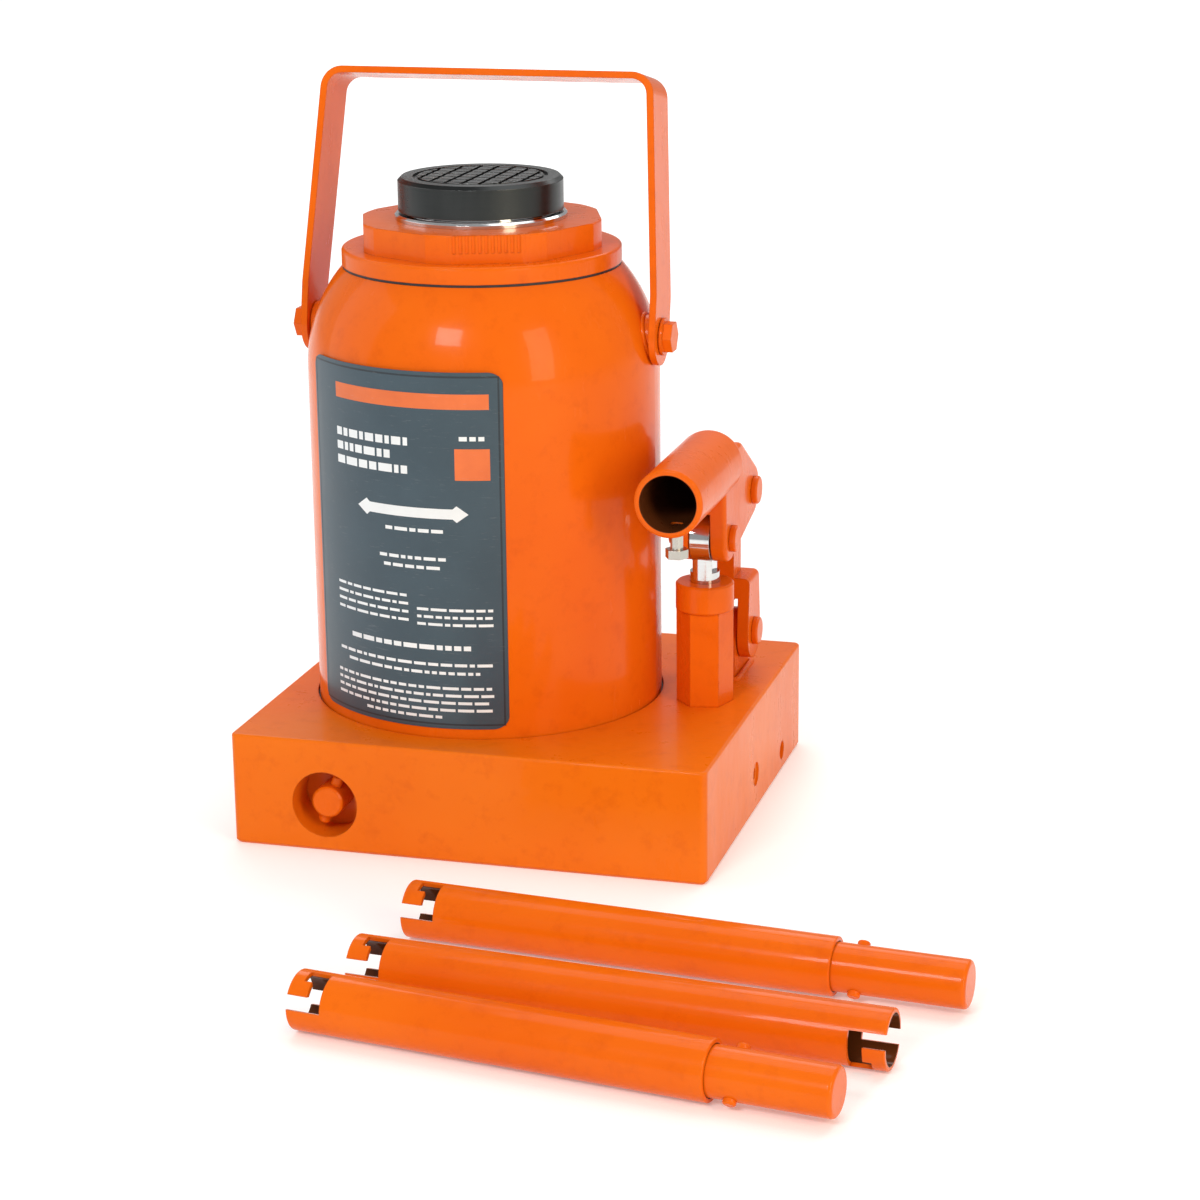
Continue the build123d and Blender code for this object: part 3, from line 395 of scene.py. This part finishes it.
# ---- Label print: bars, a block and an arrow, no lettering ----
# Places on the label are azimuths in degrees and heights in millimetres.
LABEL_SKIN = 71.46 * MM  # just proud of the label's face
PATCH_STEP = 1.5
BAR_SHORTEST = 1.4
BAR_LONGEST = 5.2
BAR_GAP = 0.8
LEAST_ROOM = 1.5

PRINT_LEFT = -128.5
PRINT_RIGHT = -71.0
HEADING_LEFT = -126.5
HEADING_BAR = 3.2
BODY_BAR = 1.1
CAPTION_BAR = 1.3
FOOTER_BAR = 1.2
NOTICE_BAR = 1.15


def strip(bm, start, end, low, high):
    """Curved patch on the label from azimuth start to end; low and high are heights or functions of azimuth."""
    steps = max(2, math.ceil(abs(end - start) / PATCH_STEP))
    rows = []
    for i in range(steps + 1):
        azimuth = start + (end - start) * i / steps
        angle = math.radians(azimuth)
        column = [height(azimuth) if callable(height) else height for height in (low, high)]
        rows.append([bm.verts.new((LABEL_SKIN * math.cos(angle), LABEL_SKIN * math.sin(angle), z * MM))
                     for z in column])
    for before, after in zip(rows, rows[1:]):
        bm.faces.new((before[0], after[0], after[1], before[1]))


def words(bm, rng, start, end, middle, tall):
    """One line of print as a row of plain bars of uneven length."""
    azimuth = start
    while azimuth < end - LEAST_ROOM:
        length = min(rng.uniform(BAR_SHORTEST, BAR_LONGEST), end - azimuth)
        strip(bm, azimuth, azimuth + length, middle - tall / 2, middle + tall / 2)
        azimuth += length + BAR_GAP


def piece_from(bm, name, body, material):
    mesh = bpy.data.meshes.new(name)
    bm.to_mesh(mesh)
    bm.free()
    mesh.materials.append(material)
    made = bpy.data.objects.new(name, mesh)
    bpy.context.scene.collection.objects.link(made)
    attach(made, body)
    return made


def white_print():
    """Lines of bars from the label's heading down to its small print."""
    bm = bmesh.new()
    rng = random.Random(7)
    for end, middle in ((-96.0, 165.2), (-103.5, 159.6), (-97.5, 154.0)):
        words(bm, rng, HEADING_LEFT, end, middle, HEADING_BAR)
    words(bm, rng, -80.5, PRINT_RIGHT, 167.2, 1.7)
    words(bm, rng, -106.0, -86.0, 130.2, 1.4)
    words(bm, rng, -108.5, -85.5, 119.0, CAPTION_BAR)
    words(bm, rng, -107.0, -86.0, 115.4, CAPTION_BAR)
    for middle in (103.5, 100.2, 96.9, 93.6):
        words(bm, rng, PRINT_LEFT, -98.5, middle, BODY_BAR)
    for middle in (98.6, 95.6, 92.6):
        words(bm, rng, -95.5, PRINT_RIGHT, middle, BODY_BAR)
    words(bm, rng, -122.0, -77.0, 83.2, 1.9)
    words(bm, rng, PRINT_LEFT, PRINT_RIGHT, 76.2, FOOTER_BAR)
    words(bm, rng, -124.0, -74.0, 72.8, FOOTER_BAR)
    for middle in (66.6, 63.6, 60.6, 57.6):
        words(bm, rng, PRINT_LEFT - 1.5, PRINT_RIGHT, middle, NOTICE_BAR)
    words(bm, rng, -116.0, -88.0, 54.6, NOTICE_BAR)
    piece_from(bm, "label_print_white", "base", ink_white)


def arrow_print():
    """Plain double-headed arrow."""
    left, right, middle, head, tall, shaft = -117.0, -78.0, 137.3, 5.0, 4.4, 2.0
    neck = 0.01

    def half(azimuth):
        reach = min(azimuth - left, right - azimuth)
        return tall * reach / head if reach < head else shaft

    bm = bmesh.new()
    cuts = [left, left + head, left + head + neck, right - head - neck, right - head, right]
    for start, end in zip(cuts, cuts[1:]):
        strip(bm, start, end, lambda a: middle - half(a), lambda a: middle + half(a))
    piece_from(bm, "label_print_arrow", "base", ink_white)


def orange_print():
    """Bar across the top and a block below its right end."""
    bm = bmesh.new()
    strip(bm, HEADING_LEFT, PRINT_RIGHT, 178.6, 184.6)
    strip(bm, -82.0, PRINT_RIGHT, 150.8, 163.2)
    piece_from(bm, "label_print_orange", "base", ink_orange)


def border_print():
    """Thin dark line just inside the label's edge."""
    left, right, bottom, top, width = -139.8, -67.7, 51.4, 191.6, 0.7
    angle = math.degrees(width * MM / LABEL_SKIN)
    bm = bmesh.new()
    strip(bm, left, right, top - width, top)
    strip(bm, left, right, bottom, bottom + width)
    strip(bm, left, left + angle, bottom + width, top - width)
    strip(bm, right - angle, right, bottom + width, top - width)
    piece_from(bm, "label_border", "base", ink_dark)


white_print()
arrow_print()
orange_print()
border_print()


# ---- Weld beads ----
TANK_RADIUS = 71.0 * MM
SHOULDER_START = 183.0 * MM
SHOULDER_ARC = 60.0 * MM
BEAD_SIDES = 10
RIPPLE_PITCH = 1.5 * MM
RIPPLE_RISE = 0.13
RIPPLE_CHANCE = 0.03
LUG_BEAD = 1.3 * MM
LUG_CORNER = 1.2 * MM
LUG_STEP = 0.5 * MM
CORNER_STEPS = 4
STUD_BEAD = 0.9 * MM
STUD_CLEARANCE = 0.2 * MM
STUD_STEPS = 108


def bead(path, radius, name, body, material):
    """Closed weld bead along a path of points: a round section that swells in overlapping ripples."""
    bm = bmesh.new()
    rng = random.Random(name)
    count = len(path)
    middle = sum(path, Vector()) / count
    travelled = 0.0
    rings = []
    for i, point in enumerate(path):
        following = path[(i + 1) % count]
        ahead = (following - path[i - 1]).normalized()
        out = (point - middle).cross(ahead).cross(ahead).normalized()
        side = ahead.cross(out)
        swell = RIPPLE_RISE * (travelled / RIPPLE_PITCH % 1.0)
        ripple = 1.0 + swell + rng.uniform(-RIPPLE_CHANCE, RIPPLE_CHANCE)
        rings.append([bm.verts.new(point + radius * ripple * (math.cos(turn) * out + math.sin(turn) * side))
                      for turn in (math.tau * k / BEAD_SIDES for k in range(BEAD_SIDES))])
        travelled += (following - point).length
    for i, ring in enumerate(rings):
        next_ring = rings[(i + 1) % count]
        for k in range(BEAD_SIDES):
            after = (k + 1) % BEAD_SIDES
            bm.faces.new((ring[k], ring[after], next_ring[after], next_ring[k]))
    bmesh.ops.recalc_face_normals(bm, faces=bm.faces)
    made = piece_from(bm, name, body, material)
    made.data.shade_smooth()


def lug_outline():
    """Rounded rectangle round the lug's foot on top of the base."""
    low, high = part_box("link_lug")
    points = []
    corners = [(high.x, high.y, 0.0), (low.x, high.y, 90.0), (low.x, low.y, 180.0), (high.x, low.y, 270.0)]
    for x, y, start in corners:
        centre = Vector((x, y, low.z))
        for k in range(CORNER_STEPS + 1):
            angle = math.radians(start + 90.0 / CORNER_STEPS * k)
            points.append(centre + LUG_CORNER * Vector((math.cos(angle), math.sin(angle), 0.0)))
    dense = []
    for a, b in zip(points, points[1:] + points[:1]):
        parts = max(1, round((b - a).length / LUG_STEP))
        dense += [a.lerp(b, k / parts) for k in range(parts)]
    return dense


def stud_outline(side):
    """Line where a bail stud's round pad meets the tank's shoulder."""
    low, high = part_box("bail_studs")
    height = (low.z + high.z) / 2
    radius = (high.z - low.z) / 2 + STUD_CLEARANCE
    points = []
    for k in range(STUD_STEPS):
        turn = math.tau * k / STUD_STEPS
        y = radius * math.cos(turn)
        z = height + radius * math.sin(turn)
        rise = max(0.0, z - SHOULDER_START)
        around = TANK_RADIUS - SHOULDER_ARC + math.sqrt(SHOULDER_ARC ** 2 - rise ** 2)
        points.append(Vector((side * math.sqrt(around ** 2 - y ** 2), y, z)))
    return points


bead(lug_outline(), LUG_BEAD, "weld_link_lug", "base", cast_enamel)
bead(stud_outline(-1.0), STUD_BEAD, "weld_bail_stud_left", "base", cast_enamel)
bead(stud_outline(1.0), STUD_BEAD, "weld_bail_stud_right", "base", cast_enamel)


# ---- Stage ----
def add_floor():
    bpy.ops.mesh.primitive_plane_add(size=FLOOR_SIZE, location=(0.0, 0.0, 0.0))
    floor = bpy.context.object
    floor.name = "floor"
    floor.data.materials.append(floor_paper())


def add_light(name, place, target, size, power, colour=WHITE):
    data = bpy.data.lights.new(name, "AREA")
    data.shape = "RECTANGLE"
    data.size, data.size_y = size
    data.energy = power
    data.color = colour
    light = bpy.data.objects.new(name, data)
    bpy.context.scene.collection.objects.link(light)
    light.location = place
    light.rotation_euler = (Vector(target) - Vector(place)).to_track_quat("-Z", "Y").to_euler()


def add_lights():
    add_light("key_front", place=(-0.2, -1.55, 1.15), target=JACK_MIDDLE, size=(0.5, 0.4), power=12.0)
    add_light("wall_left", place=(-1.5, -0.2, 0.7), target=JACK_MIDDLE, size=(1.2, 1.4), power=5.0)
    add_light("wall_right", place=(1.45, -1.0, 0.7), target=(0.05, 0.0, 0.12), size=(0.5, 1.2), power=13.0,
              colour=WARM_WHITE)
    add_light("top", place=(0.1, 0.3, 1.7), target=(0.05, -0.05, 0.0), size=(1.4, 1.0), power=8.0)
    add_light("backdrop_wash", place=(-0.2, 2.7, 2.2), target=(-0.2, 2.7, 0.0), size=(4.0, 2.2), power=75.0)


def add_world():
    world = bpy.data.worlds.new("studio")
    bpy.context.scene.world = world
    world.use_nodes = True
    background = world.node_tree.nodes["Background"]
    background.inputs["Color"].default_value = (*WHITE, 1.0)
    background.inputs["Strength"].default_value = WORLD_STRENGTH


def add_camera():
    data = bpy.data.cameras.new("camera")
    data.lens = CAMERA_LENS
    data.sensor_width = CAMERA_SENSOR
    camera = bpy.data.objects.new("camera", data)
    bpy.context.scene.collection.objects.link(camera)
    turn = Matrix.Rotation(CAMERA_YAW, 4, "Z") @ Matrix.Rotation(math.pi / 2 - CAMERA_PITCH, 4, "X")
    camera.matrix_world = Matrix.Translation(CAMERA_PLACE) @ turn @ Matrix.Rotation(CAMERA_ROLL, 4, "Z")
    bpy.context.scene.camera = camera


add_floor()
add_world()
add_lights()
add_camera()
bpy.context.scene.view_settings.view_transform = "Standard"
